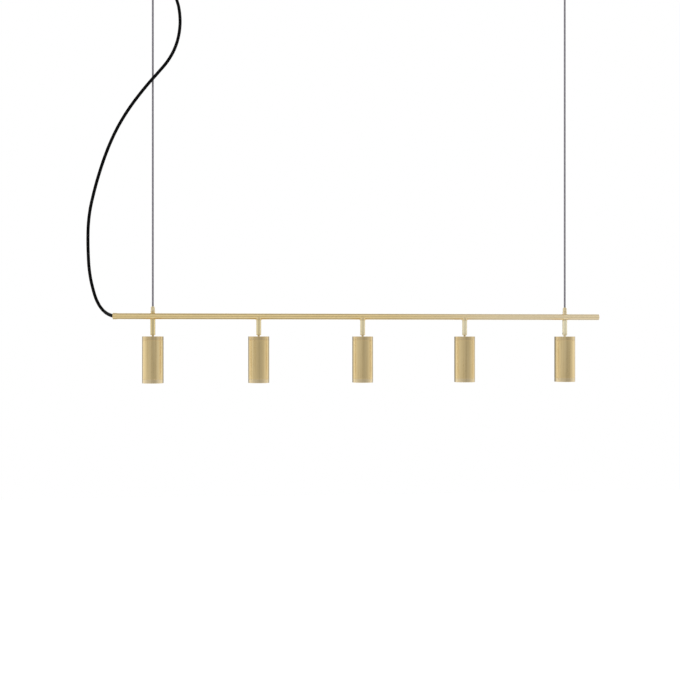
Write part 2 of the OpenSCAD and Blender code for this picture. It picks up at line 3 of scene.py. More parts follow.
import bmesh
import bpy
import numpy as np
from mathutils import Matrix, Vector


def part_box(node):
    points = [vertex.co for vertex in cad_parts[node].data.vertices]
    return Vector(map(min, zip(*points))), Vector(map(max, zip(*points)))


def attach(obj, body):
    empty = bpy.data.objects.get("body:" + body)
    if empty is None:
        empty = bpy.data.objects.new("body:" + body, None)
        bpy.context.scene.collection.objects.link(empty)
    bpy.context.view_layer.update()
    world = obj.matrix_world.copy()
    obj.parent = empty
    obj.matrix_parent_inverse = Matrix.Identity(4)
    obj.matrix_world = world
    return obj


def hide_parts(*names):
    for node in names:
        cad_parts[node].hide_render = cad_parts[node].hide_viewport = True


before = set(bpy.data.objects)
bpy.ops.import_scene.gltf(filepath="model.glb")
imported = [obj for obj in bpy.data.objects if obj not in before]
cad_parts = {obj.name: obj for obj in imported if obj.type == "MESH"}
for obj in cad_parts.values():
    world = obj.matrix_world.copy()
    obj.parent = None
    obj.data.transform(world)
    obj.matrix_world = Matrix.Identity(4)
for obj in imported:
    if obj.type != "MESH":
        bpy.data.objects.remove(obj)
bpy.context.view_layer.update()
spots = range(1, 6)
print("frame loaded")


# Camera: level, a little left of the middle and turned to the right
cameraSetup = {
    "place": (-0.3494, -3.0, -1.0475),
    "turn": -5.4,  # degrees about the vertical
    "sensor": 36.0,
    "lens": 55.21,
    "near": 0.05,
    "far": 60.0,
}


def makeCamera(setup):
    data = bpy.data.cameras.new("camera")
    data.sensor_width = setup["sensor"]
    data.lens = setup["lens"]
    data.clip_start = setup["near"]
    data.clip_end = setup["far"]
    camera = bpy.data.objects.new("camera", data)
    bpy.context.scene.collection.objects.link(camera)
    turn = Matrix.Rotation(math.radians(setup["turn"]), 4, "Z")
    level = Matrix.Rotation(math.radians(90), 4, "X")
    camera.matrix_world = Matrix.Translation(setup["place"]) @ turn @ level
    bpy.context.scene.camera = camera


makeCamera(cameraSetup)
print("camera placed")


# Shader maths: a signal is one number that varies over a surface, and sums and
# products of signals add their Math nodes
class Signal:
    def __init__(self, graph, socket):
        self.graph = graph
        self.socket = socket

    def math(self, operation, *values):
        inputs = dict(enumerate(values))
        return self.graph.add("ShaderNodeMath", {"operation": operation}, inputs)

    def __add__(self, other):
        return self.math("ADD", self, other)

    def __sub__(self, other):
        return self.math("SUBTRACT", self, other)

    def __rsub__(self, other):
        return self.math("SUBTRACT", other, self)

    def __mul__(self, other):
        return self.math("MULTIPLY", self, other)

    def __abs__(self):
        return self.math("ABSOLUTE", self)

    __radd__ = __add__
    __rmul__ = __mul__

    def between(self, low, high):
        settings = {"interpolation_type": "SMOOTHSTEP"}
        return self.graph.add("ShaderNodeMapRange", settings, {0: self, 1: low, 2: high})


class Graph:
    def __init__(self, tree):
        self.tree = tree
        tree.nodes.clear()

    def add(self, kind, settings=None, inputs=None, output=0):
        node = self.tree.nodes.new(kind)
        for name, value in (settings or {}).items():
            if name == "stops":
                self.setStops(node.color_ramp, value)
            else:
                setattr(node, name, value)
        for name, value in (inputs or {}).items():
            if isinstance(value, Signal):
                self.tree.links.new(value.socket, node.inputs[name])
            else:
                node.inputs[name].default_value = value
        return Signal(self, node.outputs[output] if node.outputs else None)

    def setStops(self, ramp, stops):
        for index, (place, level) in enumerate(stops):
            stop = ramp.elements[index] if index < 2 else ramp.elements.new(place)
            stop.position = place
            stop.color = (level, level, level, 1)

    def place(self, scale):
        # the object's own coordinates in metres, times the scale
        coordinates = self.add("ShaderNodeTexCoord", output="Object")
        return self.add("ShaderNodeVectorMath", {"operation": "MULTIPLY"}, {0: coordinates, 1: scale})

    def noise(self, scale, detail=2.0, roughness=0.5):
        inputs = {"Vector": self.place(scale), "Scale": 1.0, "Detail": detail, "Roughness": roughness}
        return self.add("ShaderNodeTexNoise", {}, inputs)

    def attribute(self, name):
        return self.add("ShaderNodeAttribute", {"attribute_name": name}, output="Fac")

    def blend(self, amount, first, second):
        settings = {"data_type": "RGBA"}
        return self.add("ShaderNodeMix", settings, {0: amount, 6: first, 7: second}, output=2)

    def bump(self, height, distance, strength=1.0):
        inputs = {"Height": height, "Distance": distance, "Strength": strength}
        return self.add("ShaderNodeBump", {}, inputs)


def finish(name, surface, **even):
    # one Principled material: surface(graph) gives the sockets that vary, the rest are even
    material = bpy.data.materials.new(name)
    material.use_nodes = True
    graph = Graph(material.node_tree)
    sockets = {socket.replace("_", " "): value for socket, value in even.items()}
    sockets.update(surface(graph))
    shader = graph.add("ShaderNodeBsdfPrincipled", {}, sockets)
    graph.add("ShaderNodeOutputMaterial", {}, {"Surface": shader})
    return material


# Brushed and turned brass under a thin clear lacquer. Toward the bar's right end, between
# farFrom and farTo, a piece may take on a share of the paler colour far, a painted sheen that
# stands in for brighter light on that end, and grow duller by farDull
brassLook = {
    "deep": (0.79, 0.597, 0.283, 1),
    "pale": (0.95, 0.765, 0.43, 1),
    "far": (0.97, 0.83, 0.58, 1),
    "farFrom": 0.0,
    "farTo": 0.5,
    "paintedSheenShare": 0.0,
    "farDull": 0.0,
    "dull": 0.29,
    "dullSpread": 0.14,
    "scratch": 0.00002,
    "patina": 9.0,
    "turnedPatina": 54.0,
    "stretch": 60.0,  # how many times longer than wide the brushed streaks are
}


def brushed(look, along, coarse=260.0, fine=2600.0):
    # long fine streaks: noise that runs fast across the brushing and slowly along it
    def across(amount):
        return [amount / look["stretch"] if axis == along else amount for axis in "xyz"]

    def surface(graph):
        bands = graph.noise(across(coarse), 2.0)
        hair = graph.noise(across(fine), 3.0, 0.6)
        cloud = graph.noise([look["patina"]] * 3, 2.0)
        tone = bands * 0.55 + hair * 0.25 + cloud * 0.2
        colour = graph.blend(tone.between(0.25, 0.75), look["deep"], look["pale"])
        dull = look["dull"]
        # painted sheen: toward the bar's right end the colour blends toward the paler far
        if look["paintedSheenShare"]:
            right = graph.add("ShaderNodeSeparateXYZ", {}, {0: graph.place([1.0] * 3)}, output="X")
            share = right.between(look["farFrom"], look["farTo"])
            colour = graph.blend(share * look["paintedSheenShare"], colour, look["far"])
            dull = share * look["farDull"] + dull
        return {
            "Base Color": colour,
            "Roughness": (hair * 0.6 + bands * 0.4 - 0.5) * look["dullSpread"] + dull,
            "Normal": graph.bump(hair + bands * 0.4, look["scratch"]),
        }

    return surface


def latheTurned(look, rings=1500.0):
    # fine rings left by the lathe: noise along the distance from the axis and the height
    def surface(graph):
        spread = graph.attribute("fromAxis") * rings + graph.attribute("alongAxis") * rings
        inputs = {"W": spread, "Scale": 1.0, "Detail": 3.0}
        ring = graph.add("ShaderNodeTexNoise", {"noise_dimensions": "1D"}, inputs)
        cloud = graph.noise([look["turnedPatina"]] * 3, 2.0)
        tone = ring * 0.6 + cloud * 0.4
        return {
            "Base Color": graph.blend(tone.between(0.3, 0.7), look["deep"], look["pale"]),
            "Roughness": (ring - 0.5) * look["dullSpread"] + look["dull"],
            "Normal": graph.bump(ring, look["scratch"]),
        }

    return surface


def cast(deep, pale, size, dull, spread=0.1, depth=0.00002, cloudSize=14):
    # a mottled, lightly grained surface, whose clouds are cloudSize times wider than its grain
    def surface(graph):
        grain = graph.noise([size] * 3, 4.0, 0.6)
        cloud = graph.noise([size / cloudSize] * 3, 2.0)
        return {
            "Base Color": graph.blend((grain * 0.5 + cloud * 0.5).between(0.3, 0.7), deep, pale),
            "Roughness": (cloud - 0.5) * spread + dull,
            "Normal": graph.bump(grain, depth),
        }

    return surface


def braided(deep, mid, pale, dull, fleck, threads=4200.0, depth=0.00006):
    # each yarn has its own tone, with fine threads on it; where the braid is low the colour blends to deep,
    # a painted shade in the braid's valleys
    def surface(graph):
        height = graph.attribute("braidHeight")
        tone = graph.attribute("yarnTone")
        thread = graph.noise([threads] * 3, 3.0, 0.7)
        yarn = graph.blend((tone * (1 - fleck) + thread * fleck).between(0.2, 0.8), mid, pale)
        return {
            # painted shade: the valleys of the braid take the deep colour
            "Base Color": graph.blend((height + thread * 0.3).between(0.05, 0.75), deep, yarn),
            "Roughness": thread * 0.12 + dull,
            "Normal": graph.bump(thread, depth),
        }

    return surface


lacquer = {"Metallic": 1.0, "Coat_Weight": 0.08, "Coat_Roughness": 0.22}
bare = {"Metallic": 1.0}
# painted sheen: the bar takes on 0.7 of the paler colour far toward its right end
barLook = dict(
    brassLook, deep=(0.83, 0.63, 0.29, 1), pale=(0.96, 0.77, 0.405, 1), dull=0.30, paintedSheenShare=0.7)
# painted sheen: the stems take on up to 0.9 of the paler, whiter colour far toward the right, and grow
# duller
stemLook = dict(
    brassLook, deep=(0.88, 0.70, 0.34, 1), pale=(1.0, 0.84, 0.46, 1), dull=0.24,
    far=(1.0, 0.94, 0.72, 1), farFrom=-0.9, farTo=0.8, paintedSheenShare=0.9, farDull=0.3)
# painted shade: the necks are darker than the stems, for the shade where stem and shade meet; they keep the
# stems' painted sheen toward the right
neckPaintedShadeLook = dict(
    stemLook, deep=(0.64, 0.51, 0.29, 1), pale=(0.80, 0.66, 0.40, 1),
    farFrom=0.1, farTo=0.7, farDull=0.15)
# painted highlight: the saddles are paler than the bar where the stems meet it, and keep the bar's painted
# sheen toward its right end
saddlePaintedHighlightLook = dict(barLook, deep=(0.90, 0.70, 0.36, 1), pale=(1.0, 0.82, 0.47, 1), dull=0.34)
# painted shade: the cap band is darker than the shade's tube, for the darker light along the top of each
# shade
capPaintedShadeLook = dict(brassLook, deep=(0.71, 0.54, 0.27, 1), pale=(0.87, 0.70, 0.41, 1))
# painted highlight: the front ring is paler than the shade's tube, for the lighter band along the bottom of
# each shade
ringPaintedHighlightLook = dict(brassLook, deep=(0.80, 0.64, 0.37, 1), pale=(0.93, 0.78, 0.50, 1))
spunLook = dict(brassLook, deep=(0.84, 0.68, 0.39, 1), pale=(0.98, 0.86, 0.58, 1), dull=0.25)
agedLook = dict(brassLook, deep=(0.40, 0.29, 0.14, 1), pale=(0.58, 0.45, 0.24, 1), dull=0.42)
brassBar = finish("brassBar", brushed(barLook, "x"), **lacquer)
brassShade = finish("brassShade", brushed(brassLook, "z"), **lacquer)
brassCapPaintedShade = finish("brassCapPaintedShade", brushed(capPaintedShadeLook, "z"), **lacquer)
brassRingPaintedHighlight = finish("brassRingPaintedHighlight", brushed(ringPaintedHighlightLook, "z"), **lacquer)
brassStem = finish("brassStem", brushed(stemLook, "z"), **lacquer)
brassNeckPaintedShade = finish("brassNeckPaintedShade", brushed(neckPaintedShadeLook, "z"), **lacquer)
brassSaddlePaintedHighlight = finish("brassSaddlePaintedHighlight", brushed(saddlePaintedHighlightLook, "x"), **lacquer)
brassTurned = finish("brassTurned", latheTurned(brassLook), **lacquer)
brassSpun = finish("brassSpun", latheTurned(spunLook, rings=2600.0), **lacquer)
agedTurned = finish("agedTurned", latheTurned(agedLook, rings=2600.0), **bare)
brassAged = finish("brassAged", brushed(agedLook, "z", coarse=400.0, fine=3000.0), **bare)
print("brass made")


# The other finishes: steel, reflector, glass, ceramic, plastic, rubber and textile
steelLook = {"deep": (0.50, 0.51, 0.53, 1), "pale": (0.68, 0.69, 0.70, 1), "size": 900.0, "dull": 0.38}
mirrorLook = {
    "deep": (0.80, 0.81, 0.84, 1), "pale": (0.90, 0.91, 0.92, 1), "size": 700.0, "dull": 0.12,
    "spread": 0.04}
lensLook = {
    "deep": (0.93, 0.95, 0.95, 1), "pale": (0.97, 0.98, 0.98, 1), "size": 60.0, "dull": 0.06,
    "spread": 0.03, "depth": 0.00001}
capsuleLook = {
    "deep": (0.84, 0.84, 0.80, 1), "pale": (0.90, 0.90, 0.87, 1), "size": 900.0, "dull": 0.35}
rubberLook = {
    "deep": (0.006, 0.006, 0.0065, 1), "pale": (0.014, 0.014, 0.015, 1), "size": 1400.0, "dull": 0.66}
ceramicLook = {"deep": (0.78, 0.77, 0.73, 1), "pale": (0.86, 0.85, 0.81, 1), "size": 500.0, "dull": 0.28}
plasticLook = {"deep": (0.74, 0.74, 0.72, 1), "pale": (0.82, 0.82, 0.80, 1), "size": 1100.0, "dull": 0.42}
siliconeLook = {"deep": (0.36, 0.07, 0.03, 1), "pale": (0.48, 0.11, 0.06, 1), "size": 800.0, "dull": 0.55}
# deep is the painted shade colour in the braid's valleys
blackYarn = {
    "deep": (0.0008, 0.0008, 0.0008, 1), "mid": (0.003, 0.003, 0.003, 1),
    "pale": (0.009, 0.009, 0.0095, 1), "dull": 0.80, "fleck": 0.4}
# deep is the painted shade colour in the braid's valleys
greyYarn = {
    "deep": (0.08, 0.072, 0.09, 1), "mid": (0.185, 0.173, 0.205, 1), "pale": (0.34, 0.325, 0.355, 1),
    "dull": 0.70, "fleck": 0.35}
zincSteel = finish("zincSteel", cast(**steelLook), **bare)
mirror = finish("reflectorMirror", cast(**mirrorLook), **bare)
lensGlass = finish("lensGlass", cast(**lensLook), Transmission_Weight=1.0, IOR=1.5)
frosted = finish("frostedCapsule", cast(**capsuleLook), Coat_Weight=0.5)
rubber = finish("blackRubber", cast(**rubberLook), Specular_IOR_Level=0.2)
ceramic = finish("glazedCeramic", cast(**ceramicLook), Coat_Weight=0.4)
plastic = finish("palePlastic", cast(**plasticLook))
silicone = finish("leadSilicone", cast(**siliconeLook))
blackBraid = finish("blackBraid", braided(**blackYarn), Specular_IOR_Level=0.05)
greyBraid = finish("greyBraid", braided(**greyYarn))
print("other finishes made")


# Surfaces, each worked out as whole arrays
def gridFaces(rows, columns, closedRows=False):
    # the quads of a grid whose points are numbered row by row, round the columns to the first
    row = np.arange(rows if closedRows else rows - 1)
    column = np.arange(columns)
    row, column = (each.ravel() for each in np.meshgrid(row, column, indexing="ij"))
    nextRow, nextColumn = (row + 1) % rows, (column + 1) % columns
    corners = [
        row * columns + column,
        row * columns + nextColumn,
        nextRow * columns + nextColumn,
        nextRow * columns + column,
    ]
    return np.stack(corners, 1)


def softened(outline, radius, closed=True, steps=4, mostOfSide=0.38, beyond=1.25):
    # a corner P between S and E, a radius away on its two sides, becomes the curve
    # (1-t)(1-t) S + 2 t (1-t) P + t t E, with a point beyond each end that keeps the sides flat
    corner = np.asarray(outline, float)
    reach = np.broadcast_to(np.asarray(radius, float), (len(corner),))[:, None]
    back, ahead = np.roll(corner, 1, 0) - corner, np.roll(corner, -1, 0) - corner
    backLength = np.linalg.norm(back, axis=1, keepdims=True)
    aheadLength = np.linalg.norm(ahead, axis=1, keepdims=True)
    cut = np.minimum(reach, mostOfSide * np.minimum(backLength, aheadLength))
    start, end = corner + back / backLength * cut, corner + ahead / aheadLength * cut
    t = np.linspace(0, 1, steps + 1)[None, :, None]
    curve = (1 - t) ** 2 * start[:, None] + 2 * t * (1 - t) * corner[:, None] + t ** 2 * end[:, None]
    beyondStart = corner + back / backLength * cut * beyond
    beyondEnd = corner + ahead / aheadLength * cut * beyond
    points = np.concatenate([beyondStart[:, None], curve, beyondEnd[:, None]], 1)
    if closed:
        return points.reshape(-1, 2)
    return np.concatenate([corner[:1], points[1:-1].reshape(-1, 2), corner[-1:]])


def divided(outline, step):
    # more points along the outline, so that no side of it is longer than the step
    outline = np.asarray(outline, float)
    sides = np.linalg.norm(np.diff(outline, axis=0), axis=1)
    length = np.concatenate([[0], np.cumsum(sides)])
    wanted = np.union1d(length, np.arange(0, length[-1], step))
    return np.stack([np.interp(wanted, length, outline[:, k]) for k in (0, 1)], 1)


def turned(outline, centre, axis="z", closed=True, segments=96, swell=None, lift=None):
    # the outline point (r, h) goes to centre + (r cos a, r sin a, h) for each angle a of a full
    # turn, or on the bar's axis to centre + (h, r cos a, r sin a); swell(r, h, a) is added to r
    # and lift(r, h, a) to h
    r, h = (each[:, None] for each in np.asarray(outline, float).T)
    angle = np.linspace(0, 2 * np.pi, segments, endpoint=False)[None, :]
    radius = r + (swell(r, h, angle) if swell else 0 * angle)
    along = h + (lift(r, h, angle) if lift else 0 * angle)
    first, second = radius * np.cos(angle), radius * np.sin(angle)
    order = [first, second, along] if axis == "z" else [along, first, second]
    points = np.stack(order, -1).reshape(-1, 3) + np.asarray(centre, float)
    facts = {"fromAxis": radius.ravel(), "alongAxis": along.ravel()}
    return points, gridFaces(len(r), segments, closed), facts


def smoothRoute(route, spacing, samples=24):
    # between two route points the line is the cubic that leaves each of them along half the
    # step between its neighbours; the line is then cut into equal steps
    knots = np.asarray(route, float)
    slopes = np.gradient(knots, axis=0)
    t = np.linspace(0, 1, samples, endpoint=False)[None, :, None]
    a, b, da, db = (each[:, None] for each in (knots[:-1], knots[1:], slopes[:-1], slopes[1:]))
    line = (
        a * (2 * t ** 3 - 3 * t ** 2 + 1) + da * (t ** 3 - 2 * t ** 2 + t)
        + b * (3 * t ** 2 - 2 * t ** 3) + db * (t ** 3 - t ** 2)
    )
    line = np.concatenate([line.reshape(-1, 3), knots[-1:]])
    length = np.concatenate([[0], np.cumsum(np.linalg.norm(np.diff(line, axis=0), axis=1))])
    wanted = np.linspace(0, length[-1], round(length[-1] / spacing) + 1)
    return np.stack([np.interp(wanted, length, line[:, k]) for k in range(3)], 1), wanted


def swept(path, radius):
    # around each path point lies the ring P + r (cos a u + sin a v), u and v square to the path;
    # a ring of no radius closes each end
    heading = np.gradient(path, axis=0)
    heading /= np.linalg.norm(heading, axis=1, keepdims=True)
    u = np.cross([0.0, 1.0, 0.0], heading)
    u /= np.linalg.norm(u, axis=1, keepdims=True)
    v = np.cross(heading, u)
    columns = radius.shape[1]
    angle = np.linspace(0, 2 * np.pi, columns, endpoint=False)[None, :, None]
    ring = np.cos(angle) * u[:, None] + np.sin(angle) * v[:, None]
    points = path[:, None] + radius[:, :, None] * ring
    ends = [np.repeat(path[k][None, None], columns, 1) for k in (0, -1)]
    points = np.concatenate([ends[0], points, ends[1]])
    return points.reshape(-1, 3), gridFaces(len(points), columns)


def braid(length, columns, carriers, pitch):
    # yarns run both ways round the tube, along a = const and b = const, with a and b equal to
    # the carriers' angle plus and minus the length over the pitch. Yarn a has the crown
    # cos(pi (a - round a)), lies over yarn b where round a + round b is even, and sinks to 0.35
    # of its crown where it is odd. A yarn's tone is the fraction of a large sine of its number,
    # which looks random and is always the same
    around = np.linspace(0, carriers, columns, endpoint=False)[None, :]
    run = length[:, None] / pitch
    a, b = around + run, around - run
    nearA, nearB = np.round(a), np.round(b)
    overA = 0.5 + 0.5 * np.cos(np.pi * (b + nearA))
    overB = 0.5 - 0.5 * np.cos(np.pi * (a + nearB))
    heightA = np.cos(np.pi * (a - nearA)) * (0.35 + 0.65 * overA)
    heightB = np.cos(np.pi * (b - nearB)) * (0.35 + 0.65 * overB)
    yarn = np.where(heightA > heightB, np.mod(nearA, carriers), carriers + np.mod(nearB, carriers))
    tone = np.mod(np.sin(yarn * 12.9898 + 4.1) * 43758.5453, 1.0)
    return np.maximum(heightA, heightB), tone


def braidedTube(path, length, setup):
    # the tube's radius is half the diameter, less the relief where the braid has its valleys; the
    # rings that close its ends take the values of the first and last row
    height, tone = braid(length, setup["around"], setup["carriers"], setup["pitch"])
    radius = setup["diameter"] / 2 - setup["relief"] * (1 - height)
    points, faces = swept(path, radius)
    facts = {
        name: np.concatenate([values[:1], values, values[-1:]]).ravel()
        for name, values in (("braidHeight", height), ("yarnTone", tone))}
    return points, faces, facts


def addPiece(name, parts, materials, body, replaces=(), endsAlong=None, partFinish=None):
    # one closed mesh from (points, faces, facts) parts; partFinish numbers each part's material,
    # or faces square to the axis endsAlong take the second material
    offsets = np.cumsum([0] + [len(part[0]) for part in parts[:-1]])
    points = np.concatenate([part[0] for part in parts])
    faces = np.concatenate([part[1] + offset for part, offset in zip(parts, offsets)])
    mesh = bpy.data.meshes.new(name)
    mesh.from_pydata(points.tolist(), [], faces.tolist(), shade_flat=False)
    for fact in parts[0][2]:
        values = np.concatenate([part[2][fact] for part in parts]).astype(np.float32)
        mesh.attributes.new(fact, "FLOAT", "POINT").data.foreach_set("value", values)
    for material in materials:
        mesh.materials.append(material)
    if partFinish:
        finishes = np.repeat(partFinish, [len(part[1]) for part in parts]).astype(np.int32)
        mesh.polygons.foreach_set("material_index", finishes)
    work = bmesh.new()
    work.from_mesh(mesh)
    bmesh.ops.remove_doubles(work, verts=work.verts, dist=1e-7)
    bmesh.ops.recalc_face_normals(work, faces=work.faces)
    work.to_mesh(mesh)
    work.free()
    if endsAlong:
        normals = np.empty(len(mesh.polygons) * 3, np.float32)
        mesh.polygons.foreach_get("normal", normals)
        flat = np.abs(normals.reshape(-1, 3)[:, "xyz".index(endsAlong)]) > 0.8
        mesh.polygons.foreach_set("material_index", flat.astype(np.int32))
    piece = bpy.data.objects.new(name, mesh)
    bpy.context.scene.collection.objects.link(piece)
    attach(piece, body)
    if replaces:
        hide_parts(*replaces)
    return piece


def roundBox(node):
    # the middle, outer radius, and lowest and highest level of a round upright CAD node
    low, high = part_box(node)
    return (low.x + high.x) / 2, (high.x - low.x) / 2, low.z, high.z


# The black cord: from the ferrule round a loose bow and up into the ceiling cup
cordSetup = {
    "route": [
        (-0.690, 0, -0.980),
        (-0.698, 0, -0.980),
        (-0.705, 0, -0.980),
        (-0.712, 0, -0.979),
        (-0.720, 0, -0.9765),
        (-0.728, 0, -0.9725),
        (-0.7355, 0, -0.967),
        (-0.7425, 0, -0.9595),
        (-0.751, 0, -0.947),
        (-0.7595, 0, -0.9285),
        (-0.767, -0.001, -0.903),
        (-0.7735, -0.001, -0.874),
        (-0.778, -0.002, -0.8395),
        (-0.780, -0.003, -0.799),
        (-0.7805, -0.004, -0.759),
        (-0.779, -0.005, -0.719),
        (-0.774, -0.006, -0.6785),
        (-0.7655, -0.007, -0.6395),
        (-0.7555, -0.008, -0.601),
        (-0.744, -0.008, -0.5625),
        (-0.731, -0.009, -0.5245),
        (-0.716, -0.010, -0.487),
        (-0.699, -0.010, -0.4505),
        (-0.6795, -0.011, -0.416),
        (-0.6575, -0.011, -0.382),
        (-0.634, -0.011, -0.350),
        (-0.6085, -0.011, -0.318),
        (-0.5825, -0.010, -0.2875),
        (-0.5575, -0.009, -0.256),
        (-0.5385, -0.008, -0.221),
        (-0.527, -0.007, -0.183),
        (-0.523, -0.005, -0.143),
        (-0.5265, -0.003, -0.103),
        (-0.536, -0.001, -0.068),
        (-0.538, 0, -0.050),
        (-0.538, 0, -0.034),
        (-0.538, 0, -0.018),
    ],
    "reliefEnd": 6,  # the route point where the strain relief stops
    "diameter": 0.009,
    "length": 1.027,
    "carriers": 12,
    "pitch": 0.0022,
    "relief": 0.00016,
    "around": 48,
    "step": 0.00075,
    "checkEvery": 8,  # one path point in so many is picked out
}


def makePowerCord(setup):
    route = setup["route"][setup["reliefEnd"]:]
    path, length = smoothRoute(route, setup["step"])
    cord = addPiece(
        "powerCord", [braidedTube(path, length, setup)], [blackBraid], "bar_frame",
        ["power_cord"])
    return cord, path, route[0]


# The cord's strain relief: a tapered rubber sleeve that starts inside the ferrule
reliefSetup = {
    "mouth": 0.0051,  # radius inside the ferrule
    "tip": 0.0047,
    "held": 0.46,  # share of its length that lies in the ferrule
    "groove": 0.00035,
    "grooves": 5,
    "groovesFrom": 0.06,  # as shares of its length outside the ferrule
    "groovesTo": 0.94,
    "tipFrom": 0.985,
    "tipStep": 0.0002,
    "step": 0.00035,
    "around": 40,
}


def makeStrainRelief(setup, cordParts):
    # the radius falls evenly from the mouth to the tip, with grooves cut round the outer half
    route = cordParts["route"][: cordParts["reliefEnd"] + 1]
    path, length = smoothRoute(route, setup["step"])
    share = np.clip((length / length[-1] - setup["held"]) / (1 - setup["held"]), 0, 1)
    wave = np.cos(2 * np.pi * share * setup["grooves"])
    cut = np.clip(wave * 1.6 - 0.8, 0, 1) * (share > setup["groovesFrom"]) * (share < setup["groovesTo"])
    radius = setup["mouth"] + (setup["tip"] - setup["mouth"]) * share - setup["groove"] * cut
    radius = np.where(share > setup["tipFrom"], radius - setup["tipStep"], radius)
    points, faces = swept(path, np.repeat(radius[:, None], setup["around"], 1))
    return addPiece(
        "cordStrainRelief", [(points, faces, {})], [rubber], "bar_frame",
        ["cord_strain_relief"])


powerCord, cordPath, cordExit = makePowerCord(cordSetup)
strainRelief = makeStrainRelief(reliefSetup, cordSetup)
cordPath[::cordSetup["checkEvery"]].tolist() + [cordPath[-1].tolist()]
print("power cord made")


# The suspension wires, held taut between the bar and the ceiling, with their crimped stops
wireSetup = {
    "diameter": 0.0055,
    "carriers": 8,
    "pitch": 0.0021,
    "relief": 0.00016,
    "around": 32,
    "step": 0.0007,
    "inset": 0.001,  # the wire ends so far below its stop's top
    "stopHeight": 0.008,
    "stopWaist": 0.0006,
    "stopEdge": 0.0005,
    "stopClearance": 0.00005,
    "checkEvery": 16,
}


def makeWire(side, setup):
    node = "wire_" + side.lower()
    x, stopRadius, low, high = roundBox(node)
    route = [(x, 0, low), (x, 0, (low + high) / 2), (x, 0, high - setup["inset"])]
    path, length = smoothRoute(route, setup["step"])
    wire = addPiece(
        "wire" + side, [braidedTube(path, length, setup)], [greyBraid], "bar_frame", [node])
    foot = high - setup["stopHeight"]
    bore, waist = setup["diameter"] / 2 + setup["stopClearance"], stopRadius - setup["stopWaist"]
    third = setup["stopHeight"] / 3
    outline = softened(
        [(bore, foot), (stopRadius, foot), (stopRadius, foot + third), (waist, foot + third * 1.2),
         (waist, high - third * 1.2), (stopRadius, high - third), (stopRadius, high), (bore, high)],
        setup["stopEdge"])
    stop = addPiece(
        "wireStop" + side, [turned(outline, (x, 0, 0), segments=48)], [zincSteel], "bar_frame")


for side in ("Left", "Right"):
    makeWire(side, wireSetup)
print("suspension wires made")


# A spot's shade: cap, tube and front ring, with a soft edge on each side of the seams
shadeSetup = {
    "wall": 0.0015,
    "seam": 0.00055,
    "edge": 0.0009,
    "innerEdge": 0.0002,
    "around": 128,
}
capSetup = {
    "height": 0.0115,
    "disc": 0.003,
    "spigotInset": 0.0016,
    "spigotWall": 0.0015,
    "boss": 0.009,
    "bore": 0.00305,
}
ringSetup = {
    "height": 0.0115,
    "spigotInset": 0.0016,
    "wall": 0.0025,
    "ledge": 0.023,
    "ledgeLow": 0.016,
    "ledgeHigh": 0.018,
    "lip": 0.0005,
}


def makeShadeTube(i, shade):
    x, outer, low, high = roundBox(f"shade_tube_{i}")
    inner = outer - shade["wall"]
    soft = [shade["seam"], shade["seam"], shade["innerEdge"], shade["innerEdge"]]
    outline = softened([(outer, low), (outer, high), (inner, high), (inner, low)], soft)
    addPiece(
        f"shadeTube{i}", [turned(outline, (x, 0, 0), segments=shade["around"])], [brassShade],
        f"spot_head_{i}", [f"shade_tube_{i}"])


def makeShadeCap(i, shade, cap):
    x, outer, low, high = roundBox(f"shade_cap_{i}")
    seat, spigot = high - cap["height"], outer - cap["spigotInset"]
    hollow, underDisc = spigot - cap["spigotWall"], high - cap["disc"]
    corners = [
        (cap["bore"], high), (outer, high), (outer, seat), (spigot, seat), (spigot, low), (hollow, low),
        (hollow, underDisc), (cap["boss"], underDisc), (cap["boss"], seat), (cap["bore"], seat)]
    soft = [shade["innerEdge"], shade["edge"], shade["seam"]] + [shade["innerEdge"]] * 7
    addPiece(
        f"shadeCap{i}", [turned(softened(corners, soft), (x, 0, 0), segments=shade["around"])],
        [brassCapPaintedShade, brassTurned], f"spot_head_{i}", [f"shade_cap_{i}"], endsAlong="z")


def makeFrontRing(i, shade, ring):
    x, outer, low, high = roundBox(f"front_ring_{i}")
    seat, spigot, bore = low + ring["height"], outer - ring["spigotInset"], outer - ring["wall"]
    corners = [
        (bore, high), (spigot, high), (spigot, seat), (outer, seat), (outer, low), (bore, low),
        (bore, low + ring["ledgeLow"]), (ring["ledge"], low + ring["ledgeLow"]),
        (ring["ledge"], low + ring["ledgeHigh"]), (bore, low + ring["ledgeHigh"])]
    soft = [shade["innerEdge"]] * 3 + [shade["seam"], shade["edge"], ring["lip"]] + [shade["innerEdge"]] * 4
    addPiece(
        f"frontRing{i}", [turned(softened(corners, soft), (x, 0, 0), segments=shade["around"])],
        [brassRingPaintedHighlight, brassTurned], f"spot_head_{i}", [f"front_ring_{i}"], endsAlong="z")


for i in spots:
    makeShadeTube(i, shadeSetup)
    makeShadeCap(i, shadeSetup, capSetup)
    makeFrontRing(i, shadeSetup, ringSetup)
print("shades made")


# A reflector lamp: dimpled bowl, pillowed lens, capsule, ceramic foot and two pins
lampSetup = {
    "height": 0.0465,  # without the pins
    "rimHeight": 0.004,
    "rimStep": 0.001,
    "edge": 0.0005,
    "wall": 0.0012,
    "foot": 0.0095,
    "footHeight": 0.012,
    "footEdge": 0.0008,
    "footSink": 0.0004,  # how far the foot reaches into the bowl
    "lens": 0.0024,
    "lensClearance": 0.0001,
    "dimples": 16,
    "dimpleRows": 5,
    "dimple": 0.0005,
    "pillows": 14,
    "pillowRows": 5,
    "pillow": 0.00035,
    "capsule": 0.0042,
    "capsuleLow": 0.011,
    "pinPitch": 0.010,
    "pin": 0.0015,
    "pinFoot": 0.0024,
    "pinFootHeight": 0.002,
    "pinEdge": 0.0003,
    "pinSink": 0.0005,  # how far the pins reach into the foot
}


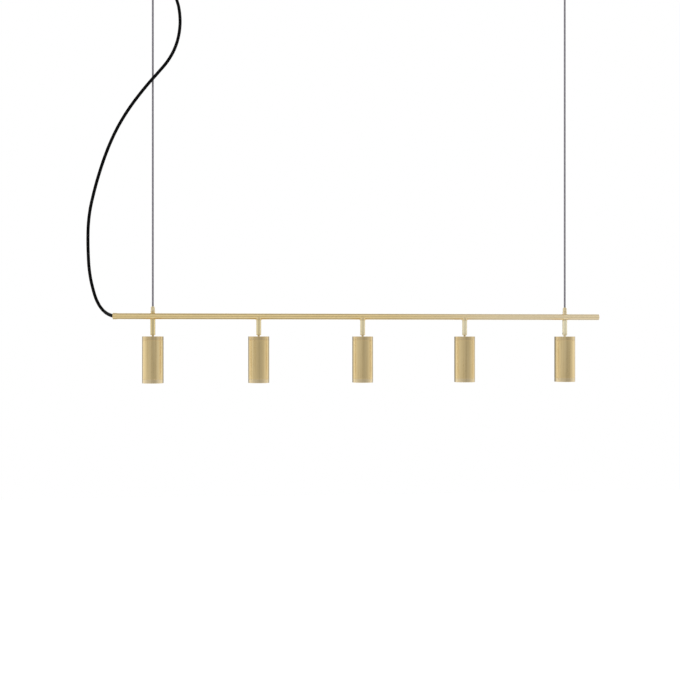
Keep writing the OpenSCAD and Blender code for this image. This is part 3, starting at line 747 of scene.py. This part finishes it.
def makeLamp(i, lamp):
    # the bowl's radius grows from the foot to the rim as a quarter of a sine wave; its dimples
    # and the lens's pillows are |sin(n a)| times |sin(m pi s)|, with s from 0 to 1 down the bowl
    # or out to the rim
    x, rim, face, pinTop = roundBox(f"lamp_{i}")
    top = face + lamp["height"]
    neck, shoulder = top - lamp["footHeight"], face + lamp["rimHeight"]
    mouth = rim - lamp["rimStep"]
    share = np.linspace(0, 1, 41)
    swellOut = lamp["foot"] + (mouth - lamp["foot"]) * np.sin(np.pi / 2 * share)
    height = neck + (shoulder - neck) * share
    outer = np.stack([swellOut, height], 1)[::-1]
    inner = np.stack([swellOut - lamp["wall"], height], 1)
    edge, seat = lamp["edge"], face + lamp["lens"]
    lip = rim - lamp["wall"]
    outline = np.concatenate([
        [(lip, face), (rim - edge, face), (rim, face + edge), (rim, shoulder - edge)], outer, inner,
        [(mouth - lamp["wall"], seat), (lip, seat)]])

    def dimples(r, h, angle):
        down = np.clip((neck - h) / (neck - shoulder), 0, 1)
        inside = (r < np.interp(down, share, swellOut) - lamp["wall"] * 0.5) & (h > shoulder)
        pattern = np.abs(np.sin(lamp["dimples"] * angle) * np.sin(np.pi * lamp["dimpleRows"] * down))
        return lamp["dimple"] * pattern * inside

    def pillows(r, h, angle):
        out = r / rim
        pattern = np.abs(np.sin(lamp["pillows"] * angle) * np.sin(np.pi * lamp["pillowRows"] * out))
        return -lamp["pillow"] * pattern * (h < face + lamp["pillow"] * 3) * (out < 0.9)

    inset = lip - lamp["lensClearance"]
    across = np.linspace(0, inset - edge, 41)
    level = face + lamp["pillow"] * 1.2
    lens = np.concatenate([
        np.stack([across, level + 0 * across], 1), [(inset, level + edge), (inset, seat), (0, seat)]])
    steps = np.linspace(0, np.pi / 2, 9)
    crown = face + lamp["capsuleLow"] + lamp["capsule"]
    capsule = np.concatenate([
        np.stack([lamp["capsule"] * np.sin(steps), crown - lamp["capsule"] * np.cos(steps)], 1),
        [(lamp["capsule"], neck), (0, neck)]])
    footLow, pinLow = neck - lamp["footSink"], top - lamp["pinSink"]
    pinWaist = pinTop - lamp["pinFootHeight"]
    foot = softened(
        [(0, footLow), (lamp["foot"] - lamp["wall"] * 0.9, footLow), (lamp["foot"], neck),
         (lamp["foot"], top), (0, top)], lamp["footEdge"], closed=False)
    pin = softened(
        [(0, pinLow), (lamp["pin"], pinLow), (lamp["pin"], pinWaist), (lamp["pinFoot"], pinWaist),
         (lamp["pinFoot"], pinTop), (0, pinTop)], lamp["pinEdge"], closed=False)
    parts = [
        turned(outline, (x, 0, 0), segments=128, swell=dimples),
        turned(lens, (x, 0, 0), closed=False, segments=112, lift=pillows),
        turned(capsule, (x, 0, 0), closed=False, segments=32),
        turned(foot, (x, 0, 0), closed=False, segments=64),
    ]
    for way in (-1, 1):
        parts.append(turned(pin, (x + way * lamp["pinPitch"] / 2, 0, 0), closed=False, segments=24))
    addPiece(
        f"lamp{i}", parts, [mirror, lensGlass, frosted, ceramic, zincSteel], f"spot_head_{i}",
        [f"lamp_{i}"], partFinish=[0, 1, 2, 3, 4, 4])


for i in spots:
    makeLamp(i, lampSetup)
print("lamps made")


# The bar's right end: a disc with a spigot in the bar
endCapSetup = {
    "spigot": 0.010,
    "spigotRadius": 0.00695,
    "disc": 0.0025,
    "edge": 0.0008,
    "innerEdge": 0.0002,
}


def makeEndCap(setup):
    low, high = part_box("bar_tube")
    radius, level = (high.z - low.z) / 2, (high.z + low.z) / 2
    spigot, spigotRadius, disc = setup["spigot"], setup["spigotRadius"], setup["disc"]
    corners = [
        (0, -spigot), (spigotRadius, -spigot), (spigotRadius, 0), (radius, 0), (radius, disc), (0, disc)]
    soft = [setup["innerEdge"]] * 4 + [setup["edge"], setup["innerEdge"]]
    outline = softened(corners, soft, closed=False)
    addPiece(
        "barEndCap", [turned(outline, (high.x, 0, level), axis="x")], [brassBar, brassSpun], "bar_frame",
        ["bar_end_cap"], endsAlong="x")


makeEndCap(endCapSetup)
print("end cap made")


# The bar's left end: the ferrule with its bell shaped mouth for the cord
ferruleSetup = {
    "spigot": 0.010,
    "spigotRadius": 0.00695,
    "throat": 0.00555,
    "mouth": 0.0080,
    "nose": 0.0008,
    "innerEdge": 0.0002,
}


def makeFerrule(setup):
    # the bore widens from the throat to the mouth along an arc of a circle that starts
    # parallel to the bar: r = throat + R - sqrt(R R - h h)
    barLow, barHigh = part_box("bar_tube")
    low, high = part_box("cord_ferrule")
    left, level = barLow.x, (barHigh.z + barLow.z) / 2
    outer, length = (high.z - low.z) / 2, left - low.x
    throat, mouth, nose, inner = setup["throat"], setup["mouth"], setup["nose"], setup["innerEdge"]
    arcRadius = (length ** 2 + (mouth - throat) ** 2) / (2 * (mouth - throat))
    reach = np.linspace(0, length - nose / 4, 14)
    bell = np.stack([throat + arcRadius - np.sqrt(arcRadius ** 2 - reach ** 2), -reach], 1)
    shell = softened(
        [(outer, -length), (outer, 0), (setup["spigotRadius"], 0), (setup["spigotRadius"], setup["spigot"]),
         (throat, setup["spigot"])], [nose, inner, inner, inner, inner], closed=False)
    rim = [(mouth + inner, -length), (outer - nose, -length)]
    turn = np.linspace(0, np.pi / 2, 7)[1:]
    roundNose = np.stack([outer - nose * (1 - np.sin(turn)), -length + nose * (1 - np.cos(turn))], 1)
    outline = np.concatenate([bell, rim, roundNose, shell[2:]])
    addPiece(
        "cordFerrule", [turned(outline, (left, 0, level), axis="x")], [brassBar, brassSpun], "bar_frame",
        ["cord_ferrule"], endsAlong="x")


makeFerrule(ferruleSetup)
print("ferrule made")


# The wire grippers: a flange, a knurled sleeve and a nose round the wire
gripperSetup = {
    "stud": 0.0025,
    "studLength": 0.0042,
    "flangeHeight": 0.003,
    "groove": 0.0051,
    "grooveHeight": 0.001,
    "sleeve": 0.0057,
    "cone": 0.001,
    "noseHeight": 0.0016,
    "noseFoot": 0.00405,
    "noseTip": 0.00385,
    "bore": 0.0028,
    "seat": 0.0015,
    "edge": 0.0002,
    "outline": 0.0003,
    "knurls": 22,
    "knurlPitch": 0.00625,
    "knurlDepth": 0.00018,
    "knurlFade": 0.0006,
}


def makeWireGrippers(setup):
    # the sleeve's radius falls by the knurl's depth times 1 - |sin(a/2) sin(b/2)|, where a and b
    # are the knurls times the angle, which turns opposite ways for them up the sleeve
    low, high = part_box("wire_grippers")
    flange, top = (high.y - low.y) / 2, high.z
    foot = low.z + setup["studLength"]
    grooveFrom = foot + setup["flangeHeight"]
    sleeveFrom = grooveFrom + setup["grooveHeight"]
    coneTop = top - setup["noseHeight"]
    sleeveTo = coneTop - setup["cone"]
    corners = [
        (0, low.z), (setup["stud"], low.z), (setup["stud"], foot), (flange, foot), (flange, grooveFrom),
        (setup["groove"], grooveFrom), (setup["groove"], sleeveFrom), (setup["sleeve"], sleeveFrom),
        (setup["sleeve"], sleeveTo), (setup["sleeve"] - setup["cone"], coneTop),
        (setup["noseFoot"], coneTop), (setup["noseTip"], top), (setup["bore"], top),
        (setup["bore"], foot + setup["seat"]), (0, foot + setup["seat"])]
    outline = divided(softened(corners, setup["edge"], closed=False), setup["outline"])

    def knurl(r, h, angle):
        climb = (h - foot) / setup["knurlPitch"]
        a, b = setup["knurls"] * (angle + climb), setup["knurls"] * (angle - climb)
        fade = (
            np.clip((h - sleeveFrom) / setup["knurlFade"], 0, 1)
            * np.clip((sleeveTo - h) / setup["knurlFade"], 0, 1))
        onSleeve = fade * (r > setup["sleeve"] * 0.99) * (r < setup["sleeve"] * 1.01)
        return -setup["knurlDepth"] * (1 - np.abs(np.sin(a / 2) * np.sin(b / 2))) * onSleeve

    middle, reach = (low.x + high.x) / 2, (high.x - low.x) / 2 - flange
    parts = [turned(outline, (middle + way * reach, 0, 0), closed=False, segments=176, swell=knurl)
             for way in (-1, 1)]
    addPiece("wireGrippers", parts, [brassSpun], "bar_frame", ["wire_grippers"])


makeWireGrippers(gripperSetup)
print("wire grippers made")


# The two wires' anchor caps under the ceiling
anchorSetup = {
    "bore": 0.0028,
    "wall": 0.0015,
    "floor": 0.003,
    "edge": 0.0022,
    "innerEdge": 0.0002,
}


def makeAnchorCaps(setup):
    low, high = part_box("anchor_caps")
    radius, bore, floorTop = (high.y - low.y) / 2, setup["bore"], low.z + setup["floor"]
    inner = radius - setup["wall"]
    corners = [
        (bore, low.z), (radius, low.z), (radius, high.z), (inner, high.z), (inner, floorTop),
        (bore, floorTop)]
    soft = [setup["innerEdge"], setup["edge"]] + [setup["innerEdge"]] * 4
    outline = softened(corners, soft, steps=6)
    middle, reach = (low.x + high.x) / 2, (high.x - low.x) / 2 - radius
    parts = [turned(outline, (middle + way * reach, 0, 0)) for way in (-1, 1)]
    addPiece("anchorCaps", parts, [brassTurned], "bar_frame", ["anchor_caps"])


makeAnchorCaps(anchorSetup)
print("anchor caps made")


# The cord's ceiling cup
cupSetup = {
    "bore": 0.0061,
    "wall": 0.0012,
    "edge": 0.0026,
    "innerEdge": 0.0002,
}


def makeCeilingCup(setup):
    x, radius, bottom, top = roundBox("ceiling_cup")
    bore, inner, floorTop = setup["bore"], radius - setup["wall"], bottom + setup["wall"]
    corners = [
        (bore, bottom), (radius, bottom), (radius, top), (inner, top), (inner, floorTop), (bore, floorTop)]
    soft = [setup["innerEdge"], setup["edge"], setup["innerEdge"], setup["innerEdge"],
            setup["edge"] - setup["wall"], setup["innerEdge"]]
    addPiece(
        "ceilingCup", [turned(softened(corners, soft, steps=6), (x, 0, 0), segments=160)], [brassTurned],
        "bar_frame", ["ceiling_cup"])


makeCeilingCup(cupSetup)
print("ceiling cup made")


# The cord grip in the cup's floor: a thread, a flange and a ribbed cone
gripSetup = {
    "bore": 0.0046,
    "tip": 0.0054,
    "waist": 0.0074,
    "flange": 0.003,
    "thread": 0.006,
    "edge": 0.0006,
    "innerEdge": 0.0002,
    "outline": 0.0008,
    "ribs": 16,
    "rib": 0.00022,
    "fade": 0.002,
}


def makeCordGrip(setup):
    # between two ribs the radius falls by rib times (0.5 + 0.5 cos(ribs a)) to the power of 4,
    # which fades out at both ends of the cone
    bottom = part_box("ceiling_cup")[0].z
    x, flange, tip, threadTop = roundBox("cup_cord_grip")
    bore, thread, under = setup["bore"], setup["thread"], bottom - setup["flange"]
    corners = [
        (bore, tip), (setup["tip"], tip), (setup["waist"], under), (flange, under), (flange, bottom),
        (thread, bottom), (thread, threadTop), (bore, threadTop)]
    soft = [setup["innerEdge"], setup["edge"]] * 2 + [setup["innerEdge"]] * 4

    def ribs(r, h, angle):
        fade = np.clip((h - tip) / setup["fade"], 0, 1) * np.clip((under - h) / setup["fade"], 0, 1)
        groove = (0.5 + 0.5 * np.cos(setup["ribs"] * angle)) ** 4
        return -setup["rib"] * groove * fade * (r > setup["tip"] * 0.99)

    outline = softened(corners, soft)
    outline = divided(np.concatenate([outline, outline[:1]]), setup["outline"])[:-1]
    addPiece(
        "cupCordGrip", [turned(outline, (x, 0, 0), segments=128, swell=ribs)], [agedTurned], "bar_frame",
        ["cup_cord_grip"])


makeCordGrip(gripSetup)
print("cord grip made")


# CAD nodes that keep their shape
nodeFinishes = {
    brassBar: ["bar_tube", "hanger_collars"],
    brassStem: ["cup_screws"] + [f"stem_{i}" for i in spots],
    brassNeckPaintedShade: [f"neck_{i}" for i in spots],
    brassSaddlePaintedHighlight: ["stem_saddles"],
    brassAged: ["swivel_nipples"],
    zincSteel: ["thread_blocks", "anchor_bases", "ceiling_plate"] + [f"pivot_pins_{i}" for i in spots],
    ceramic: [f"lamp_holder_{i}" for i in spots],
    plastic: ["terminal_block"],
    silicone: ["bar_harness"],
}


def dressNodes(finishes):
    for material, names in finishes.items():
        for name in names:
            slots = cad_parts[name].data.materials
            slots.clear()
            slots.append(material)


dressNodes(nodeFinishes)
print("CAD nodes dressed")


# Studio: plain white for the camera. The brass sees soft walls, dim behind the camera and behind
# the light, and brightest on both sides beyond it. Above and below them lies an even band that
# dims toward the zenith, and a soft lamp stands left of the camera
studio = {
    "walls": [
        (0, 0.36), (0.1, 0.44), (0.25, 0.60), (0.35, 0.72), (0.5, 0.84), (0.6, 0.96), (0.72, 1.0),
        (0.8, 0.8), (0.87, 0.45), (0.94, 0.25), (1, 0.2)],
    "highBand": 0.85,
    "highFrom": 0.12,
    "highTo": 0.4,
    "zenithDrop": 0.46,
    "zenithFrom": 0.74,
    "sideLamp": (-0.45, -0.89, 0.0),
    "sideLampFrom": 0.85,
    "sideLampGlow": 0.10,
    "floorLevel": -6.0,  # low enough for a look at the lamps from below
    "floorSize": 60.0,
    "floorPaint": {"deep": (0.93, 0.93, 0.93, 1), "pale": (0.95, 0.95, 0.95, 1), "size": 30.0, "dull": 0.8},
    "floorGlow": 0.5,  # lifts the floor to the white of the backdrop
}


def makeStudio(setup):
    world = bpy.data.worlds.new("studio")
    world.use_nodes = True
    bpy.context.scene.world = world
    graph = Graph(world.node_tree)
    direction = graph.add("ShaderNodeTexCoord", output="Generated")
    depth = graph.add("ShaderNodeSeparateXYZ", {}, {0: direction}, output="Y")
    height = abs(graph.add("ShaderNodeSeparateXYZ", {}, {0: direction}, output="Z"))
    walls = graph.add("ShaderNodeValToRGB", {"stops": setup["walls"]}, {0: depth * 0.5 + 0.5})
    band = setup["highBand"] - height.between(setup["zenithFrom"], 1.0) * setup["zenithDrop"]
    high = height.between(setup["highFrom"], setup["highTo"])
    toLamp = graph.add(
        "ShaderNodeVectorMath", {"operation": "DOT_PRODUCT"}, {0: direction, 1: setup["sideLamp"]},
        output="Value")
    lamp = toLamp.between(setup["sideLampFrom"], 1.0) * setup["sideLampGlow"]
    strength = walls * (1 - high) + band * high + lamp
    lit = graph.add("ShaderNodeBackground", {}, {"Color": (1, 1, 1, 1), "Strength": strength})
    plain = graph.add("ShaderNodeBackground", {}, {"Color": (1, 1, 1, 1), "Strength": 1.0})
    seen = graph.add("ShaderNodeLightPath", output="Is Camera Ray")
    mixed = graph.add("ShaderNodeMixShader", {}, {0: seen, 1: lit, 2: plain})
    graph.add("ShaderNodeOutputWorld", {}, {"Surface": mixed})
    bpy.context.scene.view_settings.view_transform = "Standard"  # keeps the white plain


def makeFloor(setup):
    half = setup["floorSize"] / 2
    corners = [(x, y, setup["floorLevel"]) for y in (-half, half) for x in (-half, half)]
    mesh = bpy.data.meshes.new("floor")
    mesh.from_pydata(corners, [], [(0, 1, 3, 2)])
    floor = bpy.data.objects.new("floor", mesh)
    bpy.context.scene.collection.objects.link(floor)
    paint = finish(
        "floorPaint", cast(**setup["floorPaint"]), Emission_Color=(1, 1, 1, 1),
        Emission_Strength=setup["floorGlow"])
    mesh.materials.append(paint)
    floor.visible_glossy = False
    floor.visible_diffuse = False
    floor.visible_shadow = False


makeStudio(studio)
makeFloor(studio)
print("studio lit")
